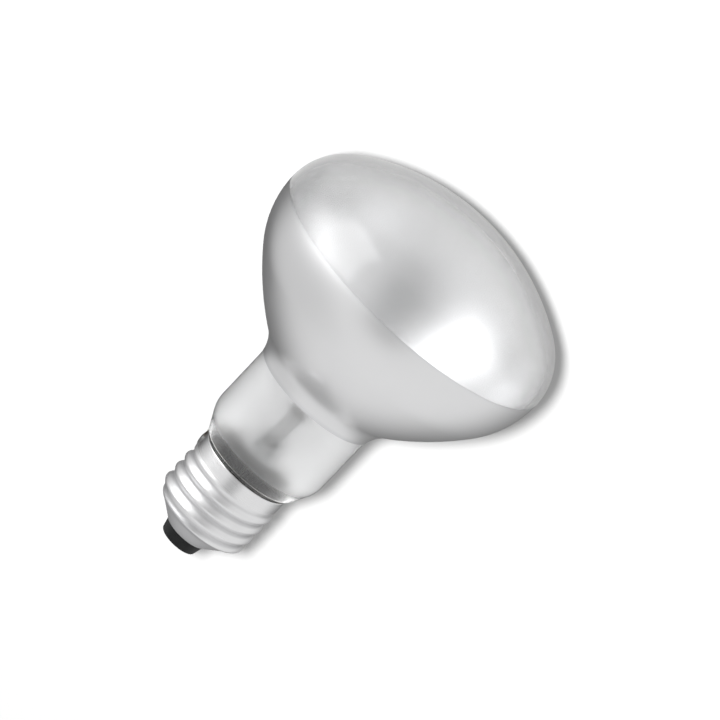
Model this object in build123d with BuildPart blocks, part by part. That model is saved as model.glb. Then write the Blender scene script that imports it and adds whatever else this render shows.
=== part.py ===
from build123d import *
from math import asin, atan2, ceil, cos, degrees, pi, radians, sin, sqrt, tan
import os

# Reflector bulb: a blown glass head, mirrored inside, on a screw cap.
# The axis is Z with the crown up, and the origin is the lowest face of the centre contact.
# Lengths are in millimetres, angles in degrees.

# Screw cap
cap_height = 27.0
thread_crest_diameter = 26.2
thread_root_diameter = 24.4
thread_pitch = 3.629
thread_crest_height = 17.0      # a crest on the +X side
thread_bottom = 7.6             # the wave has died out in the cone here
collar_height = 3.5             # plain collar between the thread and the rim
thread_run_in = 2.2
thread_run_out = 3.0
sheet = 0.3
shell_foot_diameter = 12.1
shell_foot_height = 4.1
shell_cone_angle = 49.5
shell_bend_radius = 2.5
rim_notch_width = 0.8
rim_notch_depth = 0.7
cement_below_waist = 0.6

# Insulator and centre contact
insulator_bottom = 0.8
insulator_bottom_diameter = 10.0
insulator_edge_radius = 0.4
insulator_top_below_thread = 0.2
insulator_dish_depth = 1.4
contact_diameter = 8.4
contact_thickness = 0.4
contact_recess = 0.2
eyelet_bore = 1.6
eyelet_wall = 0.4
eyelet_proud = 0.3
solder_flat_diameter = 2.6
solder_diameter = 4.8
solder_plug = 1.0

# Blown glass, from the cap to the crown
glass_wall = 0.8
waist_depth = 0.85              # centre of the waist below the rim
waist_radius = 0.8
ledge_angle = 65.0              # slope of the underside of the heel, from the axis
heel_overhang = 0.65            # heel beyond the shell's collar
heel_inner_radius = 1.2
cone_angle = 25.7               # slope of the clear cone, from the axis
shoulder_radius = 8.0
neck_diameter = 33.2
neck_length = 13.6
throat_radius = 11.0
bowl_lower_radius = 78.5
bowl_upper_radius = 24.85
bowl_upper_sweep = 36.0
head_diameter = 80.0
crown_corner_radius = 14.8
crown_height = 22.75

# Mirror film
film = 0.08
mirror_foot_rise = 2.5          # lower edge above the end of the straight neck
mirror_lip_rise = 0.5           # upper edge above the widest line

# Glass stem
stem_wall = 1.0
seal_depth = 8.0                # seal of skirt and flare below the rim
stem_tube_diameter = 11.0
stem_tube_length = 7.2
pinch_height = 7.5
press_height = 8.0
press_thickness = 4.8
press_width = 13.0
press_edge_radius = 1.6
exhaust_diameter = 3.2
exhaust_wall = 0.6
exhaust_length = 24.5
exhaust_seat = 1.5
vent_diameter = 1.8
vent_rise = 1.4                 # axis of the vent above the end of the pumping tube
vent_direction = -55.0

# Wires, filament and its support
lead_spacing = 7.2
inner_lead_diameter = 0.7
seal_wire_diameter = 0.5
outer_lead_diameter = 0.4
outer_lead_bend_radius = 1.0
notch_bend_radius = 0.4
side_lead_below_flare = 1.1
centre_lead_bend_radius = 2.0
centre_lead_beside_tip = 3.2    # the lead leaves the wall this far above the pumping tube's tip
centre_lead_above_eyelet = 1.6
wire_clearance = 0.1
filament_above_press = 21.5
filament_ring_radius = 8.0
filament_coil_diameter = 1.1
filament_gap_angle = 80.0
lead_riser = 3.5
lead_clamp_length = 4.0
lead_bend_radius = 3.0
rod_diameter = 2.6
rod_height = 13.5
button_diameter = 4.2
support_count = 3
support_wire_diameter = 0.3
support_embed = 0.9
support_bend_radius = 1.2
support_eye_turn = 300.0

# Side contact
side_solder_height = 5.0
side_solder_width = 3.2
side_solder_proud = 0.95

# Levels and radii of the cap
collar_radius = (thread_crest_diameter + thread_root_diameter) / 4
thread_top = cap_height - collar_height
thread_swing = (thread_crest_diameter - thread_root_diameter) / 4
shell_foot_radius = shell_foot_diameter / 2
cone_slope = radians(shell_cone_angle)
bend_end_radius = collar_radius - shell_bend_radius * (1 - cos(cone_slope))
bend_height = shell_foot_height + (bend_end_radius - shell_foot_radius) / tan(cone_slope)
bend_height += shell_bend_radius * sin(cone_slope)

# The skirt leaves room for the side lead inside the thread's roots
skirt_radius = thread_root_diameter / 2 - sheet - outer_lead_diameter - 2 * wire_clearance
side_lead_radius = skirt_radius + wire_clearance + outer_lead_diameter / 2

# Centres of the glass arcs, in the half plane of radius and height
neck_radius = neck_diameter / 2
head_radius = head_diameter / 2
waist_z = cap_height - waist_depth
waist_x = skirt_radius + waist_radius
ledge_normal = Vector(cos(radians(ledge_angle)), -sin(radians(ledge_angle)))
cone_normal = Vector(cos(radians(cone_angle)), -sin(radians(cone_angle)))
heel_corner_x = collar_radius + heel_overhang
ledge_run = (heel_corner_x - waist_x + waist_radius * ledge_normal.X) / sin(radians(ledge_angle))
heel_corner_z = waist_z - waist_radius * ledge_normal.Y + ledge_run * cos(radians(ledge_angle))
heel_radius = heel_inner_radius + glass_wall
heel_reach = heel_radius / (1 + ledge_normal.dot(cone_normal))
heel_center = Vector(heel_corner_x, heel_corner_z) - (ledge_normal + cone_normal) * heel_reach
shoulder_x = neck_radius - shoulder_radius
shoulder_z = heel_corner_z + (
    shoulder_radius + (shoulder_x - heel_corner_x) * cone_normal.X
) / sin(radians(cone_angle))
throat_x = neck_radius + throat_radius
throat_z = shoulder_z + neck_length
bowl_turn = radians(bowl_upper_sweep)
bowl_upper_x = head_radius - bowl_upper_radius
bowl_lower_x = bowl_upper_x - (bowl_lower_radius - bowl_upper_radius) * cos(bowl_turn)
throat_reach = bowl_lower_radius + throat_radius
bowl_lower_z = throat_z + sqrt(throat_reach**2 - (throat_x - bowl_lower_x) ** 2)
throat_turn = degrees(asin((bowl_lower_z - throat_z) / throat_reach))
equator_z = bowl_lower_z - (bowl_lower_radius - bowl_upper_radius) * sin(bowl_turn)
corner_x = head_radius - crown_corner_radius
crown_radius = (crown_height**2 + corner_x**2 - crown_corner_radius**2) / (
    2 * (crown_height - crown_corner_radius)
)
crown_center_z = equator_z + crown_height - crown_radius
corner_turn = degrees(atan2(equator_z - crown_center_z, corner_x))
overall_length = equator_z + crown_height

# Levels of the stem and of what it carries
seal_z = cap_height - seal_depth
stem_tube_radius = stem_tube_diameter / 2
flare_radius = skirt_radius - glass_wall - stem_tube_radius - wire_clearance
pinch_z = seal_z + flare_radius + stem_tube_length
press_z = pinch_z + pinch_height
press_top = press_z + press_height
exhaust_top = press_z - exhaust_seat
filament_z = press_top + filament_above_press
button_z = press_top + rod_height
lead_y = lead_spacing / 2


def point_on(center: Vector, radius: float, angle: float) -> tuple[float, float]:
    """Point at a radius and an angle about a centre, in the plane of a profile."""
    return (center.X + radius * cos(radians(angle)), center.Y + radius * sin(radians(angle)))


def glass_contour(inset: float) -> None:
    """Draws the blown outline from the crown to the foot of the skirt, moved into the glass by the inset."""
    shoulder_center = Vector(shoulder_x, shoulder_z)
    waist_center = Vector(waist_x, waist_z)
    CenterArc((0, crown_center_z), crown_radius - inset, 90, corner_turn - 90)
    CenterArc((corner_x, equator_z), crown_corner_radius - inset, corner_turn, -corner_turn)
    CenterArc((bowl_upper_x, equator_z), bowl_upper_radius - inset, 0, -bowl_upper_sweep)
    CenterArc(
        (bowl_lower_x, bowl_lower_z),
        bowl_lower_radius - inset,
        -bowl_upper_sweep,
        bowl_upper_sweep - throat_turn,
    )
    CenterArc((throat_x, throat_z), throat_radius + inset, 180 - throat_turn, throat_turn)
    Line((neck_radius - inset, throat_z), (neck_radius - inset, shoulder_z))
    CenterArc((shoulder_x, shoulder_z), shoulder_radius - inset, 0, -cone_angle)
    Line(
        point_on(shoulder_center, shoulder_radius - inset, -cone_angle),
        point_on(heel_center, heel_radius - inset, -cone_angle),
    )
    CenterArc((heel_center.X, heel_center.Y), heel_radius - inset, -cone_angle, cone_angle - ledge_angle)
    Line(
        point_on(heel_center, heel_radius - inset, -ledge_angle),
        point_on(waist_center, waist_radius + inset, 180 - ledge_angle),
    )
    CenterArc((waist_x, waist_z), waist_radius + inset, 180 - ledge_angle, ledge_angle)
    Line((skirt_radius - inset, waist_z), (skirt_radius - inset, seal_z))


def shell_radius(level: float, inset: float) -> float:
    """Mean radius of the cap's sheet at a level: collar, bend, then cone, moved inwards by the inset."""
    bend_x = collar_radius - shell_bend_radius
    bend = shell_bend_radius - inset
    drop = bend_height - level
    if drop <= 0:
        return collar_radius - inset
    if drop <= bend * sin(cone_slope):
        return bend_x + sqrt(bend**2 - drop**2)
    return bend_x + bend * cos(cone_slope) - (drop - bend * sin(cone_slope)) * tan(cone_slope)


def thread_fade(level: float) -> float:
    """Share of the full thread at a level, eased to nothing at both ends."""
    run_in = min(1.0, (level - thread_bottom) / thread_run_in)
    run_out = min(1.0, (thread_top - level) / thread_run_out)
    return (1 - cos(pi * run_in)) * (1 - cos(pi * run_out)) / 4


def thread_center(level: float) -> tuple[float, float]:
    """Centre of the sheet's round section at a level: it goes once round the axis in each pitch."""
    turn = 2 * pi * (level - thread_crest_height) / thread_pitch
    swing = thread_swing * thread_fade(level)
    return (swing * cos(turn), swing * sin(turn))


def wire_section(path: Wire, diameter: float) -> Sketch:
    """Round section of a wire, at the start of its path."""
    with BuildSketch(Plane(path @ 0, z_dir=path % 0)) as section:
        Circle(diameter / 2)
    return section.sketch


os.makedirs("parts", exist_ok=True)

# Blown glass, one piece from crown to skirt
with BuildPart() as glass_envelope:
    with BuildSketch(Plane.XZ):
        with BuildLine():
            glass_contour(0)
            Line((skirt_radius, seal_z), (skirt_radius - glass_wall, seal_z))
            glass_contour(glass_wall)
            Line((0, overall_length - glass_wall), (0, overall_length))
        make_face()
    revolve(axis=Axis.Z)
glass_envelope.part.label = "glass_envelope"
export_step(glass_envelope.part, "parts/glass_envelope.step")

# Metal film on the inside of the bowl, between its two edges
with BuildPart() as mirror_coating:
    with BuildSketch(Plane.XZ):
        with BuildLine():
            glass_contour(glass_wall)
            Line((skirt_radius - glass_wall, seal_z), (skirt_radius - glass_wall - film, seal_z))
            glass_contour(glass_wall + film)
            Line((0, overall_length - glass_wall - film), (0, overall_length - glass_wall))
        make_face()
    revolve(axis=Axis.Z)
    split(bisect_by=Plane.XY.offset(throat_z + mirror_foot_rise), keep=Keep.TOP)
    split(bisect_by=Plane.XY.offset(equator_z + mirror_lip_rise), keep=Keep.BOTTOM)
mirror_coating.part.label = "mirror_coating"
export_step(mirror_coating.part, "parts/mirror_coating.step")

# Short wires sealed in the press, one for each side of the circuit
for side, sign in (("side", -1), ("centre", 1)):
    with BuildPart() as seal_wire:
        with BuildSketch(Plane.XY.offset(pinch_z)):
            with Locations((0, sign * lead_y)):
                Circle(seal_wire_diameter / 2)
        extrude(amount=press_top - pinch_z)
    seal_wire.part.label = f"seal_wire_{side}"
    export_step(seal_wire.part, f"parts/seal_wire_{side}.step")

# Pumping tube, open into the stem at its top and melted shut at its tip
exhaust_radius = exhaust_diameter / 2
exhaust_bore = exhaust_radius - exhaust_wall
exhaust_tip = exhaust_top - exhaust_length
with BuildPart() as exhaust_tube:
    with BuildSketch(Plane.XZ):
        with BuildLine():
            Line((0, exhaust_tip), (0, exhaust_tip + exhaust_wall))
            CenterArc((0, exhaust_tip + exhaust_radius), exhaust_bore, -90, 90)
            Line((exhaust_bore, exhaust_tip + exhaust_radius), (exhaust_bore, exhaust_top))
            Line((exhaust_bore, exhaust_top), (exhaust_radius, exhaust_top))
            Line((exhaust_radius, exhaust_top), (exhaust_radius, exhaust_tip + exhaust_radius))
            CenterArc((0, exhaust_tip + exhaust_radius), exhaust_radius, -90, 90)
        make_face()
    revolve(axis=Axis.Z)
exhaust_tube.part.label = "exhaust_tube"
export_step(exhaust_tube.part, "parts/exhaust_tube.step")

# Flared stem: a glass tube opened out to the seal and pressed flat round the wires
flare_x = stem_tube_radius + flare_radius
stem_bore = stem_tube_radius - stem_wall
with BuildPart() as stem_flare:
    with BuildSketch(Plane.XZ):
        with BuildLine():
            Line((skirt_radius, seal_z), (flare_x, seal_z))
            CenterArc((flare_x, seal_z + flare_radius), flare_radius, -90, -90)
            Line((stem_tube_radius, seal_z + flare_radius), (stem_tube_radius, pinch_z))
            Line((stem_tube_radius, pinch_z), (stem_bore, pinch_z))
            Line((stem_bore, pinch_z), (stem_bore, seal_z + flare_radius))
            CenterArc((flare_x, seal_z + flare_radius), flare_radius + stem_wall, 180, 90)
            Line((flare_x, seal_z - stem_wall), (skirt_radius, seal_z - stem_wall))
            Line((skirt_radius, seal_z - stem_wall), (skirt_radius, seal_z))
        make_face()
    revolve(axis=Axis.Z)
    with BuildSketch(Plane.XY.offset(pinch_z)):
        Circle(stem_tube_radius)
    with BuildSketch(Plane.XY.offset(press_z)) as press_outline:
        RectangleRounded(press_thickness, press_width, press_edge_radius)
    loft()
    extrude(press_outline.sketch, amount=press_height)
    with Locations((0, 0, pinch_z)):
        Cone(
            stem_bore,
            exhaust_radius,
            exhaust_top - exhaust_seat - pinch_z,
            align=(Align.CENTER, Align.CENTER, Align.MIN),
            mode=Mode.SUBTRACT,
        )
    with BuildSketch(Plane.XY.offset(exhaust_top)):
        Circle(exhaust_radius)
    extrude(amount=-exhaust_seat, mode=Mode.SUBTRACT)
    with BuildSketch(Plane.XY.offset(exhaust_top)):
        Circle(exhaust_bore)
    extrude(amount=vent_rise, mode=Mode.SUBTRACT)
    vent_axis = Vector(1, 0, 0).rotate(Axis.Z, vent_direction)
    with BuildSketch(Plane((0, 0, exhaust_top + vent_rise), z_dir=vent_axis)):
        Circle(vent_diameter / 2)
    extrude(amount=press_width, mode=Mode.SUBTRACT)
    with BuildSketch(Plane.XY.offset(pinch_z)):
        with Locations((0, lead_y), (0, -lead_y)):
            Circle(seal_wire_diameter / 2)
    extrude(amount=press_top - pinch_z, mode=Mode.SUBTRACT)
stem_flare.part.label = "stem_flare"
export_step(stem_flare.part, "parts/stem_flare.step")

# Stiff wires from the press to the two ends of the filament
gap_half = filament_gap_angle / 2
clamp_x = filament_ring_radius * cos(radians(gap_half))
clamp_y = filament_ring_radius * sin(radians(gap_half))
clamp_z = filament_z - lead_clamp_length / 2
inner_leads = {}
for side, sign in (("side", -1), ("centre", 1)):
    with BuildPart() as inner_lead:
        with BuildLine() as lead_path:
            FilletPolyline(
                (0, sign * lead_y, press_top),
                (0, sign * lead_y, press_top + lead_riser),
                (clamp_x, sign * clamp_y, clamp_z),
                (clamp_x, sign * clamp_y, clamp_z + lead_clamp_length),
                radius=[lead_bend_radius, lead_bend_radius],
            )
        sweep(sections=wire_section(lead_path.wire(), inner_lead_diameter))
    inner_lead.part.label = f"inner_lead_{side}"
    export_step(inner_lead.part, f"parts/inner_lead_{side}.step")
    inner_leads[side] = inner_lead.part

# Filament: an open ring round the axis, as thick as its coil, gripped by the leads at its ends
with BuildPart() as filament:
    with BuildLine() as ring_path:
        CenterArc((0, 0, filament_z), filament_ring_radius, gap_half, 360 - filament_gap_angle)
    sweep(sections=wire_section(ring_path.wire(), filament_coil_diameter))
    add(list(inner_leads.values()), mode=Mode.SUBTRACT)
filament.part.label = "filament"
export_step(filament.part, "parts/filament.step")

# Hooks from the button, each with an eye curled round the filament
eye_radius = filament_coil_diameter / 2 + wire_clearance + support_wire_diameter / 2
button_radius = button_diameter / 2
knee_x = button_radius + support_bend_radius
knee_to_eye = Vector(filament_ring_radius - knee_x, filament_z - button_z)
hook_length = sqrt(knee_to_eye.length**2 - eye_radius**2)
hook_slope = degrees(atan2(knee_to_eye.Y, knee_to_eye.X) - asin(eye_radius / knee_to_eye.length))
support_wires = []
for index in range(support_count):
    heading = filament_gap_angle + (360 - 2 * filament_gap_angle) * index / (support_count - 1)
    outward = Plane((0, 0, 0), x_dir=Vector(1, 0, 0).rotate(Axis.Z, heading), z_dir=(0, 0, 1))
    along = Plane(outward.origin, x_dir=outward.x_dir, z_dir=outward.x_dir.cross(Vector(0, 0, 1)))
    with BuildPart() as support_wire:
        with BuildLine(along) as hook_path:
            FilletPolyline(
                (button_radius - support_embed, button_z),
                (knee_x, button_z),
                point_on(Vector(knee_x, button_z), hook_length, hook_slope),
                radius=[support_bend_radius],
            )
            CenterArc((filament_ring_radius, filament_z), eye_radius, hook_slope - 90, support_eye_turn)
        sweep(sections=wire_section(hook_path.wire(), support_wire_diameter))
    support_wire.part.label = f"support_wire_{index + 1}"
    export_step(support_wire.part, f"parts/support_wire_{index + 1}.step")
    support_wires.append(support_wire.part)

# Glass rod on the press, with the button that holds the hooks
with BuildPart() as support_rod:
    with BuildSketch(Plane.XY.offset(press_top)):
        Circle(rod_diameter / 2)
    extrude(amount=rod_height)
    with Locations((0, 0, button_z)):
        Sphere(button_radius)
    add(support_wires, mode=Mode.SUBTRACT)
support_rod.part.label = "support_rod"
export_step(support_rod.part, "parts/support_rod.step")

# Screw shell: round sections whose centre circles the axis make the rolled sheet, outside and inside
level_count = ceil(12 * (thread_top - thread_bottom) / thread_pitch)
levels = [thread_bottom + (thread_top - thread_bottom) * step / level_count for step in range(level_count + 1)]
notch_z = cap_height - rim_notch_depth
with BuildPart() as cap_shell:
    for inset, mode in ((0, Mode.ADD), (sheet, Mode.SUBTRACT)):
        for level in levels:
            with BuildSketch(Plane.XY.offset(level)):
                with Locations(thread_center(level)):
                    Circle(shell_radius(level, inset))
        loft(mode=mode)
    with BuildSketch(Plane.XY.offset(thread_top)):
        Circle(collar_radius)
        Circle(collar_radius - sheet, mode=Mode.SUBTRACT)
    extrude(amount=collar_height)
    with BuildSketch(Plane.XZ):
        with BuildLine():
            Polyline(
                (shell_radius(thread_bottom, 0), thread_bottom),
                (shell_foot_radius, shell_foot_height),
                (shell_foot_radius - sheet * cos(cone_slope), shell_foot_height + sheet * sin(cone_slope)),
                (shell_radius(thread_bottom, sheet), thread_bottom),
                close=True,
            )
        make_face()
    revolve(axis=Axis.Z)
    with BuildSketch(Plane((-collar_radius, 0, notch_z), x_dir=(0, 1, 0), z_dir=(1, 0, 0))):
        Rectangle(rim_notch_width, rim_notch_depth, align=(Align.CENTER, Align.MIN))
    extrude(amount=2 * sheet, both=True, mode=Mode.SUBTRACT)
cap_shell.part.label = "cap_shell"
export_step(cap_shell.part, "parts/cap_shell.step")

# Black glass plug, cast into the cone of the shell round the eyelet
insulator_top = thread_bottom - insulator_top_below_thread
insulator_bottom_radius = insulator_bottom_diameter / 2
contact_radius = contact_diameter / 2
contact_seat = insulator_bottom + contact_recess
eyelet_radius = eyelet_bore / 2 + eyelet_wall
dish_z = insulator_top - insulator_dish_depth
with BuildPart() as insulator:
    with BuildSketch(Plane.XZ):
        with BuildLine():
            Polyline(
                (eyelet_radius, contact_seat),
                (contact_radius, contact_seat),
                (contact_radius, insulator_bottom),
                (insulator_bottom_radius, insulator_bottom),
                (shell_foot_radius - sheet * cos(cone_slope), shell_foot_height + sheet * sin(cone_slope)),
                (shell_radius(insulator_top, sheet), insulator_top),
                (eyelet_radius, dish_z),
                close=True,
            )
        make_face()
    revolve(axis=Axis.Z)
    bottom_edges = insulator.edges().filter_by(GeomType.CIRCLE).filter_by_position(
        Axis.Z, insulator_bottom, insulator_bottom
    )
    fillet(bottom_edges.sort_by(SortBy.RADIUS)[-1], insulator_edge_radius)
insulator.part.label = "insulator"
export_step(insulator.part, "parts/insulator.step")

# Brass contact: a disc in the insulator's recess with a hollow eyelet through the plug
contact_bottom = contact_seat - contact_thickness
with BuildPart() as centre_contact:
    with BuildSketch(Plane.XY.offset(contact_bottom)):
        Circle(contact_radius)
    extrude(amount=contact_thickness)
    with BuildSketch(Plane.XY.offset(contact_seat)):
        Circle(eyelet_radius)
    extrude(amount=dish_z + eyelet_proud - contact_seat)
    with BuildSketch(Plane.XY.offset(contact_bottom)):
        Circle(eyelet_bore / 2)
    extrude(amount=dish_z + eyelet_proud - contact_bottom, mode=Mode.SUBTRACT)
centre_contact.part.label = "centre_contact"
export_step(centre_contact.part, "parts/centre_contact.step")

# Leads from the press to the two contacts
notch_lead_z = notch_z + outer_lead_diameter / 2 + wire_clearance
side_lead_low_z = seal_z - stem_wall - side_lead_below_flare
solder_reach = collar_radius + side_solder_proud
outer_lead_routes = {
    "side": (
        [
            (0, -lead_y, pinch_z),
            (0, -lead_y, side_lead_low_z),
            (-side_lead_radius, 0, side_lead_low_z),
            (-side_lead_radius, 0, notch_lead_z),
            (-solder_reach + outer_lead_diameter, 0, notch_lead_z),
        ],
        [outer_lead_bend_radius, outer_lead_bend_radius, notch_bend_radius],
    ),
    "centre": (
        [
            (0, lead_y, pinch_z),
            (0, lead_y, exhaust_tip + centre_lead_beside_tip),
            (0, 0, dish_z + eyelet_proud + centre_lead_above_eyelet),
            (0, 0, contact_seat),
        ],
        [centre_lead_bend_radius, centre_lead_bend_radius],
    ),
}
outer_leads = {}
for side, (route, bends) in outer_lead_routes.items():
    with BuildPart() as outer_lead:
        with BuildLine() as outer_path:
            FilletPolyline(*route, radius=bends)
        sweep(sections=wire_section(outer_path.wire(), outer_lead_diameter))
    outer_lead.part.label = f"outer_lead_{side}"
    export_step(outer_lead.part, f"parts/outer_lead_{side}.step")
    outer_leads[side] = outer_lead.part

# Solder over the eyelet, flat where it meets the holder's spring
with BuildPart() as centre_solder:
    with BuildSketch(Plane.XZ):
        with BuildLine():
            Line((0, 0), (solder_flat_diameter / 2, 0))
            RadiusArc(
                (solder_flat_diameter / 2, 0),
                (solder_diameter / 2, contact_bottom),
                -solder_diameter / 2,
            )
            Polyline(
                (solder_diameter / 2, contact_bottom),
                (eyelet_bore / 2, contact_bottom),
                (eyelet_bore / 2, contact_bottom + solder_plug),
                (0, contact_bottom + solder_plug),
                (0, 0),
            )
        make_face()
    revolve(axis=Axis.Z)
    add(outer_leads["centre"], mode=Mode.SUBTRACT)
centre_solder.part.label = "centre_solder"
export_step(centre_solder.part, "parts/centre_solder.step")

# Drop of solder on the collar, over the notch and the end of the side lead
side_solder_x = solder_reach - side_solder_width / 2
with BuildPart() as side_solder:
    with BuildSketch(Plane((-side_solder_x, 0, cap_height - side_solder_height / 2), x_dir=(1, 0, 0), z_dir=(0, -1, 0))):
        Ellipse(side_solder_width / 2, side_solder_height / 2)
        Rectangle(side_solder_width, side_solder_height, align=(Align.MAX, Align.CENTER), mode=Mode.SUBTRACT)
    revolve(axis=Axis((-side_solder_x, 0, 0), (0, 0, 1)))
    with BuildSketch(Plane.XY.offset(cap_height)):
        Circle(collar_radius)
    extrude(amount=-2 * side_solder_height, mode=Mode.SUBTRACT)
    add([cap_shell.part, outer_leads["side"]], mode=Mode.SUBTRACT)
side_solder.part.label = "side_solder"
export_step(side_solder.part, "parts/side_solder.step")

# Cement between the skirt and the collar, with a channel for the side lead
with BuildPart() as basing_cement:
    with BuildSketch(Plane.XY.offset(thread_top)):
        Circle(collar_radius - sheet)
        Circle(skirt_radius, mode=Mode.SUBTRACT)
    extrude(amount=waist_z - cement_below_waist - thread_top)
    add(outer_leads["side"], mode=Mode.SUBTRACT)
basing_cement.part.label = "basing_cement"
export_step(basing_cement.part, "parts/basing_cement.step")

print(f"overall length {overall_length:.2f}, widest line {equator_z:.2f}, throat {throat_z:.2f}")
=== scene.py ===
"""Reflector bulb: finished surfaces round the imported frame, with the table, the light and the camera."""

import logging
import math
from collections.abc import Mapping, Sequence
from dataclasses import dataclass, field
from enum import Enum
from typing import Any

import bmesh
import bpy
from mathutils import Matrix, Vector


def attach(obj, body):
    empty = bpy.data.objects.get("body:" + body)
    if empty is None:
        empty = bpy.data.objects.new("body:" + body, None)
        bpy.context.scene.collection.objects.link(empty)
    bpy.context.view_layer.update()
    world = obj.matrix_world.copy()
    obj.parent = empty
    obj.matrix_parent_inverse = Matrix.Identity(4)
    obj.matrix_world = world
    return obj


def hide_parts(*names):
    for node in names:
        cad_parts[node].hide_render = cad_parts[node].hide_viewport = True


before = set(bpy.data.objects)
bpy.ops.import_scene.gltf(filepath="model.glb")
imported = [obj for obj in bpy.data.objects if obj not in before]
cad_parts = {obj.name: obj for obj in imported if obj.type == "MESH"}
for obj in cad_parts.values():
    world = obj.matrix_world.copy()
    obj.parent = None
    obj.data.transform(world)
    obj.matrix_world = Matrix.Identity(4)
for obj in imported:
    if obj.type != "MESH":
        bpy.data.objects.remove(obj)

LOG = logging.getLogger("reflector_bulb")
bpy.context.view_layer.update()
MM = 0.001
IMAGE_SIDE = 720
BODY = "root"

# Shared by the finishes.
GLASS_IOR = 1.5
GLOSS = 0.02
NOISE_MEAN = 0.5

# Shared by the shapes; the two lengths are in metres.
FEWEST_ARC_PIECES = 6
WALL_MARK = "wall"
WALL_TOLERANCE = 0.25
SEAM_WIDTH = 2e-6
SHORTEST_EDGE = 1e-7

Colour = tuple[float, float, float]
Place = tuple[float, float, float]
Point = tuple[float, float]
Inputs = Mapping[str | int, Any]


class Field:
    """A node socket that takes part in Python expressions; each operation adds a Math node."""

    def __init__(self, graph: "Graph", socket: bpy.types.NodeSocket) -> None:
        """Keeps the socket and the graph that it belongs to."""
        self.graph = graph
        self.socket = socket

    def __add__(self, other: "Number") -> "Field":
        """Sum."""
        return self.graph.math("ADD", self, other)

    def __radd__(self, other: "Number") -> "Field":
        """Sum, with the plain number first."""
        return self.graph.math("ADD", other, self)

    def __sub__(self, other: "Number") -> "Field":
        """Difference."""
        return self.graph.math("SUBTRACT", self, other)

    def __rsub__(self, other: "Number") -> "Field":
        """Difference, with the plain number first."""
        return self.graph.math("SUBTRACT", other, self)

    def __mul__(self, other: "Number") -> "Field":
        """Product."""
        return self.graph.math("MULTIPLY", self, other)

    def __rmul__(self, other: "Number") -> "Field":
        """Product, with the plain number first."""
        return self.graph.math("MULTIPLY", other, self)

    def __truediv__(self, other: "Number") -> "Field":
        """Quotient."""
        return self.graph.math("DIVIDE", self, other)

    def __rtruediv__(self, other: "Number") -> "Field":
        """Quotient, with the plain number first."""
        return self.graph.math("DIVIDE", other, self)


Number = Field | float


class Graph:
    """A node tree under construction, for a material, the world or a shape."""

    def __init__(self, tree: bpy.types.NodeTree) -> None:
        """Starts from an empty tree."""
        self.tree = tree
        tree.nodes.clear()

    def add(self, kind: str, inputs: Inputs | None = None, **settings: Any) -> bpy.types.Node:
        """Adds a node.

        Args:
            kind: The node's type name.
            inputs: Values or fields for its sockets, by identifier, name or number.
            settings: Its properties, which are set first.

        Returns:
            The new node.
        """
        node = self.tree.nodes.new(kind)
        for name, value in settings.items():
            setattr(node, name, value)
        for key, value in (inputs or {}).items():
            self.feed(self.find(node, key), value)
        return node

    def get(self, kind: str, inputs: Inputs | None = None, key: str | int = 0, **settings: Any) -> Field:
        """Adds a node and takes one of its outputs."""
        return self.out(self.add(kind, inputs, **settings), key)

    def find(self, node: bpy.types.Node, key: str | int) -> bpy.types.NodeSocket:
        """Finds an input socket of a node.

        Args:
            node: The node.
            key: The socket's identifier, name or number.

        Returns:
            The socket.
        """
        if isinstance(key, str):
            for socket in node.inputs:
                if socket.identifier == key:
                    return socket
        return node.inputs[key]

    def feed(self, socket: bpy.types.NodeSocket, value: Any) -> None:
        """Links a field to a socket, or sets the socket's own value.

        Args:
            socket: The input socket.
            value: A field, or a plain value.
        """
        if isinstance(value, Field):
            self.tree.links.new(value.socket, socket)
        else:
            socket.default_value = value

    def out(self, node: bpy.types.Node, key: str | int = 0) -> Field:
        """One output of a node as a field."""
        return Field(self, node.outputs[key])

    def math(self, operation: str, *operands: Number) -> Field:
        """The result of a Math node on one to three numbers or fields."""
        return self.get("ShaderNodeMath", dict(enumerate(operands)), operation=operation)

    def blend(self, operation: str, first: Field, second: Field | Place, key: str | int = 0) -> Field:
        """One result of a Vector Math node on two vectors."""
        return self.get("ShaderNodeVectorMath", {0: first, 1: second}, key, operation=operation)

    def rise(self, value: Field, low: Number, high: Number) -> Field:
        """Smooth step, from 0 where the value is low to 1 where it is high."""
        inputs = {"Value": value, "From Min": low, "From Max": high}
        return self.get("ShaderNodeMapRange", inputs, interpolation_type="SMOOTHSTEP")

    def vector(self, x: Number, y: Number, z: Number) -> Field:
        """Joins three numbers to a vector."""
        return self.get("ShaderNodeCombineXYZ", {0: x, 1: y, 2: z})

    def split(self, vector: Field) -> tuple[Field, Field, Field]:
        """The three parts of a vector."""
        node = self.add("ShaderNodeSeparateXYZ", {0: vector})
        return self.out(node, 0), self.out(node, 1), self.out(node, 2)


@dataclass(frozen=True)
class Grain:
    """Noise of a finish: its lumps in a millimetre and its layers of finer noise."""

    per_mm: float
    detail: float


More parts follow.
